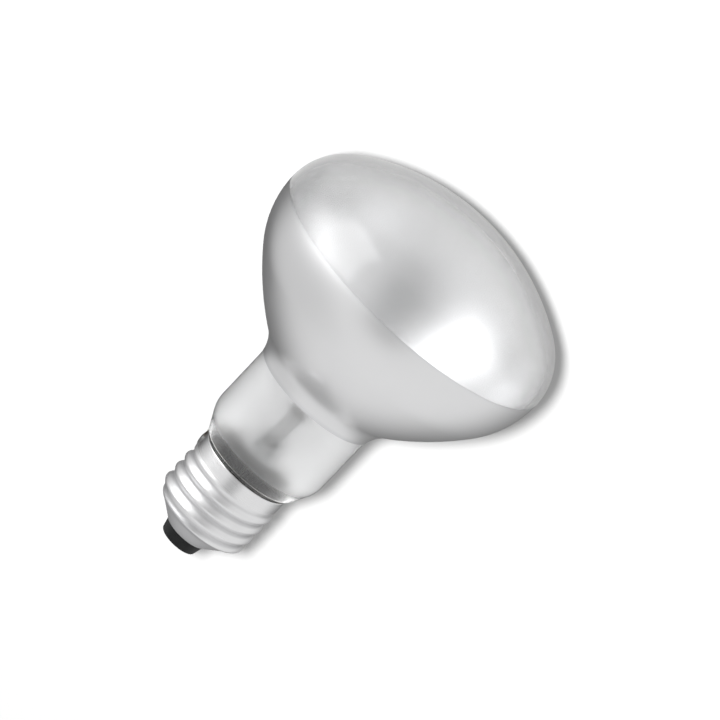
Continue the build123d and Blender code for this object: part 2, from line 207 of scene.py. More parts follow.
class Surface(Graph):
    """The node tree of a material, with its shader and the patterns that finishes share."""

    def __init__(self, name: str) -> None:
        """Makes the material with one shader in it.

        Args:
            name: The material's name.
        """
        self.material = bpy.data.materials.new(name)
        self.material.use_nodes = True
        super().__init__(self.material.node_tree)
        self.shader = self.add("ShaderNodeBsdfPrincipled")
        self.output = self.add("ShaderNodeOutputMaterial")
        self.show(self.out(self.shader))
        self.point = self.get("ShaderNodeTexCoord", key="Object")

    def show(self, shader: Field) -> None:
        """Makes a shader the one that the surface shows."""
        self.feed(self.output.inputs["Surface"], shader)

    def set(self, **values: Any) -> None:
        """Sets sockets of the shader, by name with an underscore for each space."""
        for name, value in values.items():
            self.feed(self.shader.inputs[name.replace("_", " ")], value)

    def grain(self, grain: Grain, vector: Field | None = None) -> Field:
        """Noise from 0 to 1, over the object's own coordinates or over another vector."""
        inputs = {"Vector": vector or self.point, "Scale": grain.per_mm / MM, "Detail": grain.detail}
        return self.get("ShaderNodeTexNoise", inputs)

    def sway(self, noise: Field, share: float) -> Field:
        """How far a noise is above or below its mean, times a share."""
        return (noise - NOISE_MEAN) * share

    def tint(self, share: Number, first: Field | Colour, second: Field | Colour) -> Field:
        """Mixes two colours.

        Args:
            share: How much of the second.
            first: The colour at 0.
            second: The colour at 1.

        Returns:
            The mixed colour.
        """
        first, second = (c if isinstance(c, Field) else (*c, 1) for c in (first, second))
        inputs = {"Factor_Float": share, "A_Color": first, "B_Color": second}
        node = self.add("ShaderNodeMix", inputs, data_type="RGBA")
        return Field(self, next(s for s in node.outputs if s.identifier == "Result_Color"))

    def relief(self, height: Field, depth_mm: float) -> Field:
        """The normal bumped by a height, whose 1 stands for the depth."""
        return self.get("ShaderNodeBump", {"Height": height, "Distance": depth_mm * MM, "Strength": 1.0})

    def edge_on(self) -> Field:
        """How far the surface turns away from the eye: 0 where it faces it, 1 at its outline."""
        return self.get("ShaderNodeLayerWeight", {"Blend": 0.5}, "Facing")

    def height(self) -> Field:
        """Height above the origin, in millimetres."""
        return self.split(self.point)[2] / MM

    def around(self) -> tuple[Field, Field, Field]:
        """Angle, radius and height about the bulb's axis, in radians and metres."""
        x, y, z = self.split(self.point)
        return self.math("ARCTAN2", y, x), self.math("SQRT", x * x + y * y), z


@dataclass(frozen=True)
class FrostedGlass:
    """Blown glass, clear below the frost line and etched inside above it.

    The crown has a lighter etch than the neck, and looks matt where it is seen edge on. Just above the cap
    rim the glass colour is darker.
    Heights are in millimetres.
    """

    name: str = "frosted_glass"
    frost_line: float = 30.3
    frost_fade: float = 2.2
    frost_deepens: float = 2.2
    frost_waver: float = 1.6
    waver: Grain = Grain(0.18, 2.0)
    shallow: float = 0.4
    clear: float = 0.02
    etched: float = 0.31
    etched_crown: float = 0.25
    crown_from: float = 62.0
    crown_full: float = 78.0
    # The glass colour turns dark grey from here down past the cap rim, with a wavy edge.
    rim_darkening_top: float = 28.5
    rim_darkening_fade: float = 1.1
    rim_darkening: Colour = (0.30, 0.29, 0.275)
    colour: Colour = (0.955, 0.955, 0.955)
    cloudy: Colour = (0.93, 0.935, 0.94)
    cloud: Grain = Grain(0.05, 2.0)
    cloud_etch: float = 0.04
    satin: Grain = Grain(6.0, 2.0)
    satin_depth: float = 0.012
    coat: float = 1.0
    transmission: float = 0.97
    veil: float = 0.95
    veil_from: float = 0.5
    veil_colour: Colour = (0.54, 0.54, 0.54)

    def material(self) -> bpy.types.Material:
        """Makes the material.

        Returns:
            The material.
        """
        s = Surface(self.name)
        z = s.height()
        waver = s.grain(self.waver) - NOISE_MEAN
        frost = s.rise(z + waver * self.frost_waver, self.frost_line, self.frost_line + self.frost_fade)
        deep = s.rise(z, self.frost_line, self.frost_line + self.frost_deepens)
        depth = self.shallow + deep * (1 - self.shallow)
        crown = s.rise(z, self.crown_from, self.crown_full)
        etched = self.etched + crown * (self.etched_crown - self.etched)
        cloud = s.grain(self.cloud)
        # Darker glass colour from just above the cap rim downwards.
        undarkened = s.rise(z + waver, self.rim_darkening_top - self.rim_darkening_fade, self.rim_darkening_top)
        s.set(
            Base_Color=s.tint(undarkened, self.rim_darkening, s.tint(cloud, self.colour, self.cloudy)),
            Roughness=self.clear + frost * depth * (etched - self.clear + s.sway(cloud, self.cloud_etch)),
            Transmission_Weight=self.transmission,
            IOR=GLASS_IOR,
            Coat_Weight=frost * self.coat,
            Coat_Roughness=GLOSS,
            Coat_IOR=GLASS_IOR,
            Normal=s.relief(s.grain(self.satin) * frost, self.satin_depth),
        )
        veil = s.rise(s.edge_on(), self.veil_from, 1.0) * crown * self.veil
        matt = s.get("ShaderNodeBsdfDiffuse", {"Color": (*self.veil_colour, 1)})
        s.show(s.get("ShaderNodeMixShader", {0: veil, 1: s.out(s.shader), 2: matt}))
        return s.material


@dataclass(frozen=True)
class SilveredGlass:
    """Clear glass over the back of the metal film: satin silver under a gloss, thin at the film's edges."""

    name: str = "silvered_glass"
    foot: float = 52.4
    foot_fade: float = 1.5
    lip: float = 88.8
    lip_fade: float = 0.5
    colour: Colour = (0.80, 0.80, 0.805)
    thin: Colour = (0.66, 0.665, 0.68)
    thin_share: float = 0.6
    roughness: float = 0.35
    cloud: Grain = Grain(0.06, 3.0)
    cloud_share: float = 0.3
    cloud_rough: float = 0.12
    speckle: Grain = Grain(3.5, 2.0)
    speckle_rough: float = 0.05
    speckle_depth: float = 0.004

    def material(self) -> bpy.types.Material:
        """Makes the material.

        Returns:
            The material.
        """
        s = Surface(self.name)
        z = s.height()
        cloud = s.grain(self.cloud)
        speckle = s.grain(self.speckle)
        begun = s.rise(z, self.foot, self.foot + self.foot_fade)
        thin = 1 - begun * (1 - s.rise(z, self.lip - self.lip_fade, self.lip))
        s.set(
            Base_Color=s.tint(thin * self.thin_share + cloud * self.cloud_share, self.colour, self.thin),
            Metallic=1.0,
            Roughness=self.roughness + s.sway(cloud, self.cloud_rough) + s.sway(speckle, self.speckle_rough),
            Coat_Weight=1.0,
            Coat_Roughness=GLOSS,
            Coat_IOR=GLASS_IOR,
            Normal=s.relief(speckle, self.speckle_depth),
        )
        return s.material


@dataclass(frozen=True)
class Metal:
    """A metal surface with cloudy colour, uneven shine and a fine relief."""

    name: str
    colour: Colour
    dull: Colour
    roughness: float = 0.3
    uneven: float = 0.1
    cloud: Grain = Grain(0.5, 4.0)
    fine: Grain = Grain(6.0, 3.0)
    depth: float = 0.01

    def material(self) -> bpy.types.Material:
        """Makes the material.

        Returns:
            The material.
        """
        s = Surface(self.name)
        cloud = s.grain(self.cloud)
        fine = s.grain(self.fine)
        s.set(
            Base_Color=s.tint(cloud, self.colour, self.dull),
            Metallic=1.0,
            Roughness=self.roughness + s.sway(cloud, self.uneven) + s.sway(fine, self.uneven),
            Normal=s.relief(fine, self.depth),
        )
        return s.material


@dataclass(frozen=True)
class RolledAluminium:
    """Drawn and rolled sheet: lines round the axis, painted shade in the thread roots and over the cone,
    rubbed crests, a brighter collar.
    """

    name: str = "rolled_aluminium"
    colour: Colour = (0.84, 0.84, 0.845)
    dull: Colour = (0.56, 0.56, 0.57)
    roughness: float = 0.36
    lines: Grain = Grain(1.0, 4.0)
    lines_stretch: Place = (0.6, 9.0, 0.5)
    lines_rough: float = 0.3
    lines_depth: float = 0.014
    cloud: Grain = Grain(0.25, 3.0)
    cloud_share: float = 0.2
    # Painted shade: the colour darkens below the root radius, in the thread roots and over the cone further
    # in.
    root: float = 12.2
    root_shade_reach: float = 0.35
    root_shade_share: float = 0.7
    root_shade_rough: float = 0.08
    crest: float = 13.1
    rub_reach: float = 0.12
    rub: Grain = Grain(0.9, 3.0)
    rub_range: Point = (0.5, 0.65)
    rub_shine: float = 0.06
    collar: float = 22.5
    collar_fade: float = 1.5
    collar_shine: float = 0.13

    def material(self) -> bpy.types.Material:
        """Makes the material.

        Returns:
            The material.
        """
        s = Surface(self.name)
        angle, radius, height = s.around()
        along, upward, outward = self.lines_stretch
        lines = s.grain(self.lines, s.vector(angle * (along * MM), height * upward, radius * outward))
        worn = s.rise(s.grain(self.rub), *self.rub_range)
        rub = s.rise(radius / MM, self.crest - self.rub_reach, self.crest) * worn
        # Painted shade below the root radius, in the thread roots and on the cone; it also roughens the
        # surface there.
        root_shade = 1 - s.rise(radius / MM, self.root, self.root + self.root_shade_reach)
        collar = s.rise(height / MM, self.collar, self.collar + self.collar_fade)
        rough = self.roughness + s.sway(lines, self.lines_rough) + root_shade * self.root_shade_rough
        # Share of the darker colour: random cloudy tone plus the painted shade below the root radius.
        dull = s.grain(self.cloud) * self.cloud_share + root_shade * self.root_shade_share
        s.set(
            Base_Color=s.tint(dull, self.colour, self.dull),
            Metallic=1.0,
            Roughness=rough - collar * self.collar_shine - rub * self.rub_shine,
            Normal=s.relief(lines, self.lines_depth),
        )
        return s.material


@dataclass(frozen=True)
class BlackGlass:
    """Cast black glass, glossy, with the slight ripple of a pressed face."""

    name: str = "black_glass"
    colour: Colour = (0.008, 0.0085, 0.009)
    pale: Colour = (0.022, 0.023, 0.023)
    cloud: Grain = Grain(0.4, 4.0)
    roughness: float = 0.22
    specular: float = 0.13
    ripple: Grain = Grain(0.7, 2.0)
    ripple_rough: float = 0.16
    ripple_depth: float = 0.05

    def material(self) -> bpy.types.Material:
        """Makes the material.

        Returns:
            The material.
        """
        s = Surface(self.name)
        ripple = s.grain(self.ripple)
        s.set(
            Base_Color=s.tint(s.grain(self.cloud), self.colour, self.pale),
            Roughness=self.roughness + ripple * self.ripple_rough,
            IOR=GLASS_IOR,
            Specular_IOR_Level=self.specular,
            Normal=s.relief(ripple, self.ripple_depth),
        )
        return s.material


@dataclass(frozen=True)
class ClearGlass:
    """Worked tube glass with faint drawing waves and painted shade where it is seen edge on, which in the
    press mostly gives way to an even slight grey.
    """

    name: str = "stem_glass"
    # colour is the painted shade at the outlines; pale is the glass's own tint.
    colour: Colour = (0.05, 0.05, 0.05)
    pale: Colour = (0.84, 0.845, 0.845)
    edge_shade_range: Point = (0.35, 0.9)
    # The press, where the painted edge shade mostly gives way to an even slight grey.
    press_range: Point = (34.6, 39.6)
    press_hides_shade: float = 0.9
    press_grey: float = 0.08
    roughness: float = 0.03
    ior: float = 1.52
    wave: Grain = Grain(0.35, 1.0)
    wave_rough: float = 0.04
    wave_depth: float = 0.02

    def material(self) -> bpy.types.Material:
        """Makes the material.

        Returns:
            The material.
        """
        s = Surface(self.name)
        wave = s.grain(self.wave)
        # Painted shade: the colour turns dark where the tube is seen edge on; in the press most of it gives
        # way to an even slight grey.
        edge_shade = s.rise(s.edge_on(), *self.edge_shade_range)
        in_press = s.rise(s.height(), *self.press_range)
        edge_shade_and_press_grey = edge_shade * (1 - in_press * self.press_hides_shade) + in_press * self.press_grey
        s.set(
            Base_Color=s.tint(edge_shade_and_press_grey, self.pale, self.colour),
            Roughness=self.roughness + wave * self.wave_rough,
            Transmission_Weight=1.0,
            IOR=self.ior,
            Normal=s.relief(wave, self.wave_depth),
        )
        return s.material


@dataclass(frozen=True)
class Cement:
    """Baked basing cement, dark and gritty."""

    name: str = "basing_cement"
    colour: Colour = (0.035, 0.032, 0.027)
    pale: Colour = (0.085, 0.077, 0.064)
    roughness: float = 0.75
    grit: Grain = Grain(4.0, 5.0)
    grit_rough: float = 0.2
    grit_depth: float = 0.1

    def material(self) -> bpy.types.Material:
        """Makes the material.

        Returns:
            The material.
        """
        s = Surface(self.name)
        grit = s.grain(self.grit)
        s.set(
            Base_Color=s.tint(grit, self.colour, self.pale),
            Roughness=self.roughness + grit * self.grit_rough,
            Normal=s.relief(grit, self.grit_depth),
        )
        return s.material


@dataclass(frozen=True)
class PittedSolder:
    """Bright solder, dark, dull and not metallic round the pit where the lead goes in; lengths are in
    millimetres.
    """

    pit: Place
    reach: float
    name: str = "pitted_solder"
    colour: Colour = (0.34, 0.34, 0.335)
    dull: Colour = (0.12, 0.12, 0.12)
    # The dark colour round the pit.
    pit_darkening: Colour = (0.035, 0.028, 0.022)
    pit_dark_share: float = 0.55
    pit_rough: float = 0.6
    shine: float = 0.22
    cloud: Grain = Grain(0.8, 4.0)
    cloud_waver: float = 0.5
    cloud_rough: float = 0.2
    fine: Grain = Grain(2.5, 3.0)
    fine_depth: float = 0.03

    def material(self) -> bpy.types.Material:
        """Makes the material.

        Returns:
            The material.
        """
        s = Surface(self.name)
        far = s.blend("DISTANCE", s.point, tuple(v * MM for v in self.pit), "Value") / MM
        cloud = s.grain(self.cloud)
        # Darker, duller and not metallic within the reach of the pit.
        undarkened = s.rise(far + s.sway(cloud, self.cloud_waver), self.reach * self.pit_dark_share, self.reach)
        s.set(
            Base_Color=s.tint(undarkened, self.pit_darkening, s.tint(cloud, self.colour, self.dull)),
            Metallic=undarkened,
            Roughness=self.pit_rough - undarkened * self.shine + s.sway(cloud, self.cloud_rough),
            Normal=s.relief(s.grain(self.fine), self.fine_depth),
        )
        return s.material


MIRROR_FILM = Metal(
    "mirror_film", (0.92, 0.92, 0.925), (0.88, 0.88, 0.89), roughness=0.16, uneven=0.05, depth=0.001
)
TUNGSTEN = Metal("tungsten", (0.20, 0.195, 0.19), (0.12, 0.12, 0.12), roughness=0.45)
NICKEL = Metal("nickel_wire", (0.62, 0.60, 0.56), (0.48, 0.46, 0.43), roughness=0.32)
MOLYBDENUM = Metal("molybdenum_wire", (0.42, 0.42, 0.43), (0.30, 0.30, 0.31), roughness=0.35)
SEALED_COPPER = Metal("sealed_copper", (0.20, 0.145, 0.12), (0.13, 0.09, 0.075), roughness=0.4)
TINNED_COPPER = Metal("tinned_copper", (0.55, 0.52, 0.49), (0.40, 0.35, 0.31), roughness=0.35)
BRASS = Metal("brass", (0.80, 0.62, 0.32), (0.62, 0.46, 0.24))
SOLDER = Metal(
    "solder", (0.70, 0.70, 0.69), (0.50, 0.50, 0.50), cloud=Grain(0.3, 4.0), fine=Grain(3.6, 3.0), depth=0.04
)


class Wall(Enum):
    """Stretches of a turned outline that take different finishes."""

    FIRST = 0
    SECOND = 1
    THIRD = 2


@dataclass
class Outline:
    """Half section of a turned piece, in millimetres of radius and height, with a wall for each point."""

    step: float = 0.8
    points: list[Point] = field(default_factory=list)
    walls: list[Wall] = field(default_factory=list)
    wall: Wall = Wall.FIRST

    def put(self, radius: float, height: float) -> None:
        """Adds one point."""
        self.points.append((radius, height))
        self.walls.append(self.wall)

    def line(self, radius: float, height: float) -> None:
        """Runs straight to a point.

        Args:
            radius: The point's radius.
            height: The point's height.
        """
        r0, z0 = self.points[-1]
        count = max(1, math.ceil(math.hypot(radius - r0, height - z0) / self.step))
        for i in range(1, count + 1):
            self.put(r0 + (radius - r0) * i / count, z0 + (height - z0) * i / count)

    def arc(self, center: Point, radius: float, start: float, sweep: float) -> None:
        """Follows an arc.

        Args:
            center: Its centre.
            radius: Its radius.
            start: The angle where it starts, in degrees.
            sweep: How far it goes, in degrees.
        """
        count = max(FEWEST_ARC_PIECES, math.ceil(abs(math.radians(sweep)) * radius / self.step))
        for i in range(count + 1):
            turn = math.radians(start + sweep * i / count)
            self.put(center[0] + radius * math.cos(turn), center[1] + radius * math.sin(turn))

    def enter(self, wall: Wall) -> None:
        """Starts another wall at the last point."""
        self.wall = wall
        self.put(*self.points[-1])

    def follow(self, other: "Outline", levels: Mapping[float, Wall]) -> None:
        """Copies another outline, which goes down, and changes the wall at given levels.

        Args:
            other: The outline to copy.
            levels: The wall that starts at each height, from the highest down.
        """
        ahead = list(levels.items())
        for radius, height in other.points:
            while ahead and height <= ahead[0][0]:
                level, wall = ahead.pop(0)
                r0, z0 = self.points[-1]
                share = (z0 - level) / (z0 - height) if z0 > height else 0.0
                self.put(r0 + (radius - r0) * share, level)
                self.enter(wall)
            self.put(radius, height)

    def back(self, other: "Outline") -> None:
        """Copies another outline from its end to its start."""
        for radius, height in reversed(other.points):
            self.put(radius, height)


class ShapeTree(Graph):
    """A Geometry Nodes tree with named inputs, run once on a base object and made a plain mesh."""

    def __init__(self, name: str, inputs: Mapping[str, str]) -> None:
        """Makes the tree and its sockets.

        Args:
            name: The tree's name.
            inputs: The kind of each named input, after the geometry.
        """
        group = bpy.data.node_groups.new(name, "GeometryNodeTree")
        super().__init__(group)
        sockets = group.interface
        sockets.new_socket("Geometry", in_out="INPUT", socket_type="NodeSocketGeometry")
        self.keys = {
            label: sockets.new_socket(label, in_out="INPUT", socket_type=f"NodeSocket{kind}").identifier
            for label, kind in inputs.items()
        }
        sockets.new_socket("Geometry", in_out="OUTPUT", socket_type="NodeSocketGeometry")
        self.given = self.add("NodeGroupInput")

    def value(self, label: str) -> Field:
        """One of the named inputs, or the geometry."""
        return self.out(self.given, label)

    def moved(self, geometry: Field, position: Field) -> Field:
        """The geometry with its points at other places."""
        return self.get("GeometryNodeSetPosition", {"Geometry": geometry, "Position": position})

    def smooth(self, geometry: Field) -> Field:
        """The geometry with smooth shading."""
        return self.get("GeometryNodeSetShadeSmooth", {"Geometry": geometry, "Shade Smooth": True})

    def finish(self, geometry: Field, materials: Sequence[str], choice: Field | None = None) -> None:
        """Ends the tree: instances are made real and each stretch gets its material.

        Args:
            geometry: The shape.
            materials: Names of the material inputs, in the order of the walls.
            choice: The wall's number over the shape, where there is more than one.
        """
        geometry = self.get("GeometryNodeRealizeInstances", {"Geometry": geometry})
        for number, label in enumerate(materials):
            inputs = {"Geometry": geometry, "Material": self.value(label)}
            if choice is not None:
                inputs["Selection"] = self.math("COMPARE", choice, float(number), WALL_TOLERANCE)
            geometry = self.get("GeometryNodeSetMaterial", inputs)
        self.add("NodeGroupOutput", {"Geometry": geometry})

    def run(self, name: str, base: bpy.types.Mesh, values: Mapping[str, Any]) -> bpy.types.Object:
        """Runs the tree on a base mesh.

        Args:
            name: The finished piece's name.
            base: The mesh that the tree starts from.
            values: A value for each named input.

        Returns:
            The piece, as a plain mesh.
        """
        piece = bpy.data.objects.new(name, base)
        bpy.context.scene.collection.objects.link(piece)
        modifier = piece.modifiers.new("shape", "NODES")
        modifier.node_group = self.tree
        for label, value in values.items():
            modifier[self.keys[label]] = value
        depsgraph = bpy.context.evaluated_depsgraph_get()
        mesh = bpy.data.meshes.new_from_object(piece.evaluated_get(depsgraph), depsgraph=depsgraph)
        piece.modifiers.clear()
        piece.data = mesh
        mesh.name = name
        bpy.data.meshes.remove(base)
        return piece


class Turned(ShapeTree):
    """Turns an outline about the axis."""

    WALLS = ("Finish 1", "Finish 2", "Finish 3")

    def __init__(self, name: str = "turned", extra: Mapping[str, str] | None = None) -> None:
        """Builds the tree.

        Args:
            name: The tree's name.
            extra: Further named inputs.
        """
        super().__init__(name, {"Around": "Int", **dict.fromkeys(self.WALLS, "Material"), **(extra or {})})
        rows = self.get("GeometryNodeAttributeDomainSize", {"Geometry": self.value("Geometry")})
        across = self.value("Around") + 1.0
        grid = self.get("GeometryNodeMeshGrid", {"Vertices X": rows, "Vertices Y": across})
        index = self.get("GeometryNodeInputIndex")
        row = self.math("FLOOR", (index + 0.5) / across)
        turn = (index - row * across) / self.value("Around") * math.tau
        position = self.get("GeometryNodeInputPosition")
        radius, _, height = self.split(self.sample("FLOAT_VECTOR", position, row))
        wall = self.get("GeometryNodeInputNamedAttribute", {"Name": WALL_MARK}, data_type="FLOAT")
        mark = {"Geometry": grid, "Name": WALL_MARK, "Value": self.sample("FLOAT", wall, row)}
        marked = self.get("GeometryNodeStoreNamedAttribute", mark, data_type="FLOAT", domain="POINT")
        bent = self.moved(marked, self.place(radius, height, turn))
        self.finish(self.smooth(bent), self.WALLS, wall)

    def sample(self, kind: str, value: Field, row: Field) -> Field:
        """A value of the outline, of a data type, at the point with the row's number."""
        inputs = {"Geometry": self.value("Geometry"), "Value": value, "Index": row}
        return self.get("GeometryNodeSampleIndex", inputs, data_type=kind, domain="POINT")

    def place(self, radius: Field, height: Field, turn: Field) -> Field:
        """Where a point of the outline goes when it is turned about the axis."""
        return self.vector(radius * self.math("COSINE", turn), radius * self.math("SINE", turn), height)

    def make(
        self,
        name: str,
        outline: Outline,
        finishes: Sequence[bpy.types.Material],
        around: int = 192,
        **extra: float,
    ) -> bpy.types.Object:
        """Turns an outline into a piece.

        Args:
            name: The piece's name.
            outline: Its half section.
            finishes: A material for each wall.
            around: Faces round the axis.
            extra: Values for further inputs, an underscore for each space.

        Returns:
            The piece.
        """
        base = bpy.data.meshes.new(name + "_outline")
        edges = [(i, i + 1) for i in range(len(outline.points) - 1)]
        base.from_pydata([(r * MM, 0, z * MM) for r, z in outline.points], edges, [])
        walls = base.attributes.new(WALL_MARK, "FLOAT", "POINT")
        walls.data.foreach_set("value", [float(w.value) for w in outline.walls])
        values = {"Around": around}
        values |= {label: finishes[min(i, len(finishes) - 1)] for i, label in enumerate(self.WALLS)}
        values |= {label.replace("_", " "): value for label, value in extra.items()}
        piece = self.run(name, base, values)
        close_seams(piece)
        return piece


class Rolled(Turned):
    """Turns an outline and rolls a thread into it: round sections that circle the axis once in each pitch."""

    LENGTHS = ("Pitch", "Swing", "Crest", "Bottom", "Top", "Run In", "Run Out", "Rim", "Notch Depth")

    def __init__(self) -> None:
        """Builds the tree, with the thread's sizes as inputs."""
        super().__init__("rolled", dict.fromkeys((*self.LENGTHS, "Notch Half"), "Float"))

    def ease(self, share: Field) -> Field:
        """Half a cosine wave, from 0 to 1."""
        kept = self.math("MINIMUM", self.math("MAXIMUM", share, 0.0), 1.0)
        return (1.0 - self.math("COSINE", kept * math.pi)) / 2.0

    def place(self, radius: Field, height: Field, turn: Field) -> Field:
        """Where a point of the outline goes, with the thread and the notch in the rim.

        Args:
            radius: Its radius.
            height: Its height.
            turn: The angle about the axis.

        Returns:
            The position.
        """
        bottom = self.ease((height - self.value("Bottom")) / self.value("Run In"))
        top = self.ease((self.value("Top") - height) / self.value("Run Out"))
        swing = self.value("Swing") * bottom * top
        wave = (height - self.value("Crest")) / self.value("Pitch") * math.tau
        off = self.math("ABSOLUTE", turn - math.pi)
        inside = self.math("LESS_THAN", off, self.value("Notch Half"))
        floor = self.value("Rim") - self.value("Notch Depth") * inside
        return self.vector(
            radius * self.math("COSINE", turn) + swing * self.math("COSINE", wave),
            radius * self.math("SINE", turn) + swing * self.math("SINE", wave),
            self.math("MINIMUM", height, floor),
        )


class CoiledRing(ShapeTree):
    """Winds a wire into a coil that runs round an open ring."""

    WIRE_SIDES = 6

    def __init__(self) -> None:
        """Builds the tree."""
        labels = ("Ring Radius", "Height", "Start", "Sweep", "Coil Radius", "Wire Radius", "Turns")
        floats = dict.fromkeys(labels, "Float")
        super().__init__("coiled_ring", {**floats, "Points": "Int", "Finish": "Material"})
        line = self.get("GeometryNodeMeshLine", {"Count": self.value("Points")}, mode="END_POINTS")
        share = self.get("GeometryNodeInputIndex") / (self.value("Points") - 1.0)
        along = self.value("Start") + self.value("Sweep") * share
        twist = self.value("Turns") * share * math.tau
        radius = self.value("Ring Radius") + self.value("Coil Radius") * self.math("COSINE", twist)
        place = self.vector(
            radius * self.math("COSINE", along),
            radius * self.math("SINE", along),
            self.value("Height") + self.value("Coil Radius") * self.math("SINE", twist),
        )
        path = self.get("GeometryNodeMeshToCurve", {"Mesh": self.moved(line, place)})
        circle = {"Resolution": self.WIRE_SIDES, "Radius": self.value("Wire Radius")}
        section = self.get("GeometryNodeCurvePrimitiveCircle", circle)
        wire = {"Curve": path, "Profile Curve": section, "Fill Caps": True}
        self.finish(self.get("GeometryNodeCurveToMesh", wire), ["Finish"])


class Drop(ShapeTree):
    """A set drop of metal: a ball pulled to size, uneven, with a pit where the lead goes in."""

    BALL = {"Segments": 64, "Rings": 40, "Radius": 1.0}
    LUMP_DETAIL = 2.0

    def __init__(self) -> None:
        """Builds the tree."""
        vectors = dict.fromkeys(("Centre", "Size", "Pit"), "Vector")
        floats = dict.fromkeys(("Lumps", "Unevenness", "Pit Size", "Pit Depth"), "Float")
        super().__init__("drop", {**vectors, **floats, "Finish": "Material"})
        ball = self.get("GeometryNodeMeshUVSphere", self.BALL)
        place = self.get("GeometryNodeInputPosition")
        noise = {"Vector": place, "Scale": self.value("Lumps"), "Detail": self.LUMP_DETAIL}
        lump = self.get("ShaderNodeTexNoise", noise)
        far = self.blend("DISTANCE", place, self.value("Pit"), "Value")
        dent = (1 - self.rise(far, 0.0, self.value("Pit Size"))) * self.value("Pit Depth")
        swell = 1.0 + (lump - NOISE_MEAN) * self.value("Unevenness") - dent
        swollen = self.get("ShaderNodeVectorMath", {0: place, "Scale": swell}, operation="SCALE")
        pulled = self.blend("ADD", self.blend("MULTIPLY", swollen, self.value("Size")), self.value("Centre"))
        self.finish(self.smooth(self.moved(ball, pulled)), ["Finish"])


def close_seams(piece: bpy.types.Object) -> None:
    """Merges the seam and the poles of a turned piece and drops faces without area.

    Args:
        piece: The piece, changed in place.
    """
    shape = bmesh.new()
    shape.from_mesh(piece.data)
    bmesh.ops.remove_doubles(shape, verts=shape.verts, dist=SEAM_WIDTH)
    bmesh.ops.dissolve_degenerate(shape, edges=shape.edges, dist=SHORTEST_EDGE)
    shape.to_mesh(piece.data)
    shape.free()
    piece.data.attributes.remove(piece.data.attributes[WALL_MARK])
    piece.data.update()


def seat(piece: bpy.types.Object, slot: str, *nodes: str) -> None:
    """Lets a finished piece ride on the bulb and stand for its CAD nodes.

    Args:
        piece: The piece.
        slot: The record's material slot for the piece; not used.
        nodes: The CAD nodes that it stands for.
    """
    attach(piece, BODY)
    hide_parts(*nodes)
    LOG.info("%s: %d faces", piece.name, len(piece.data.polygons))


def dress(material: bpy.types.Material, *nodes: str) -> None:
    """Gives CAD nodes that keep their shape a finish.

    Args:
        material: The finish.
        nodes: The nodes.
    """
    for name in nodes:
        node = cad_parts[name]
        node.data.materials.clear()
        node.data.materials.append(material)
        LOG.info("%s: %s", name, material.name)


